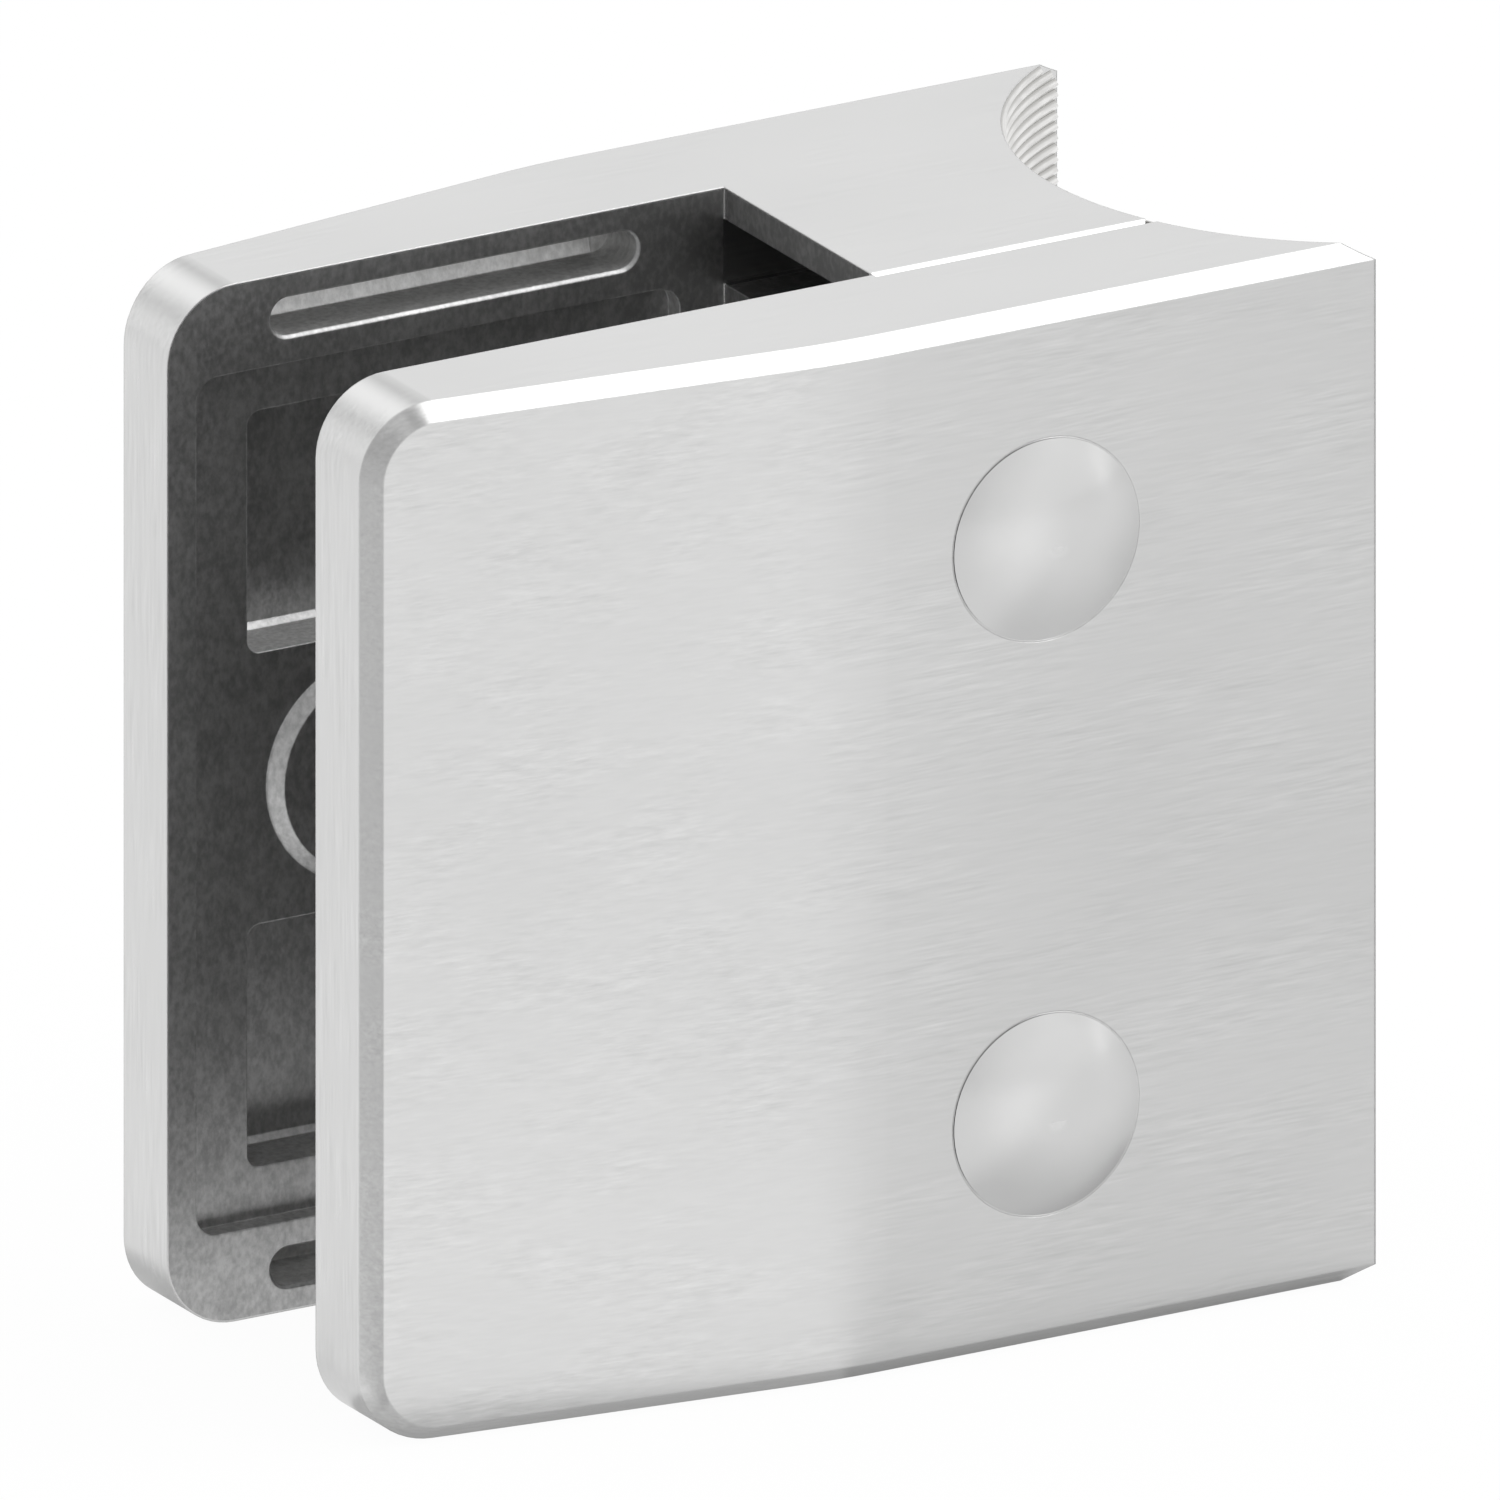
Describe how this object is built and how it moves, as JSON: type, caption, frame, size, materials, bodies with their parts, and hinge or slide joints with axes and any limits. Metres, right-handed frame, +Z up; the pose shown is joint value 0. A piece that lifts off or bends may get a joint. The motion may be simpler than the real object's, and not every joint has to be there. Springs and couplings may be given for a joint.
{
  "type": "glass panel clamp",
  "caption": "Square clamp that grips the edge of a glass pane and seats on a round post; socket screws from the rear draw its front cover onto the base.",
  "frame": {"origin": "middle of the hollow post seat, where the axis of the bolt into the post meets the post, at mid height", "axes": "+Z up along the post, +X from the glass towards the post, +Y from the front cover to the rear jaw"},
  "size_m": [0.053, 0.0312, 0.052],
  "materials": {
    "satin_stainless": "brushed along the length of the clamp",
    "polished_stainless": "polished dome",
    "screw_stainless": "plain machined"
  },
  "bodies": {
    "base": {"base_body": "satin_stainless"},
    "cover": {"cover_plate": "satin_stainless", "sleeve_nut_upper": "polished_stainless", "sleeve_nut_lower": "polished_stainless"},
    "upper_screw": {"clamp_screw_upper": "screw_stainless"},
    "lower_screw": {"clamp_screw_lower": "screw_stainless"}
  },
  "joints": [
    {"name": "cover_slide", "type": "slide", "parent": "base", "child": "cover", "axis": [0, -1, 0], "range_m": [0, 0.004]},
    {"name": "upper_screw_turn", "type": "hinge", "parent": "base", "child": "upper_screw", "pos_m": [-0.0088, 0.0087, 0.0144], "axis": [0, 1, 0], "range_deg": [0, 1440]},
    {"name": "lower_screw_turn", "type": "hinge", "parent": "base", "child": "lower_screw", "pos_m": [-0.0088, 0.0087, -0.0144], "axis": [0, 1, 0], "range_deg": [0, 1440]}
  ],
  "couplings": [
    {"joint": "upper_screw_turn", "follows": "cover_slide", "rad_per_m": 6283.2},
    {"joint": "lower_screw_turn", "follows": "cover_slide", "rad_per_m": 6283.2}
  ]
}
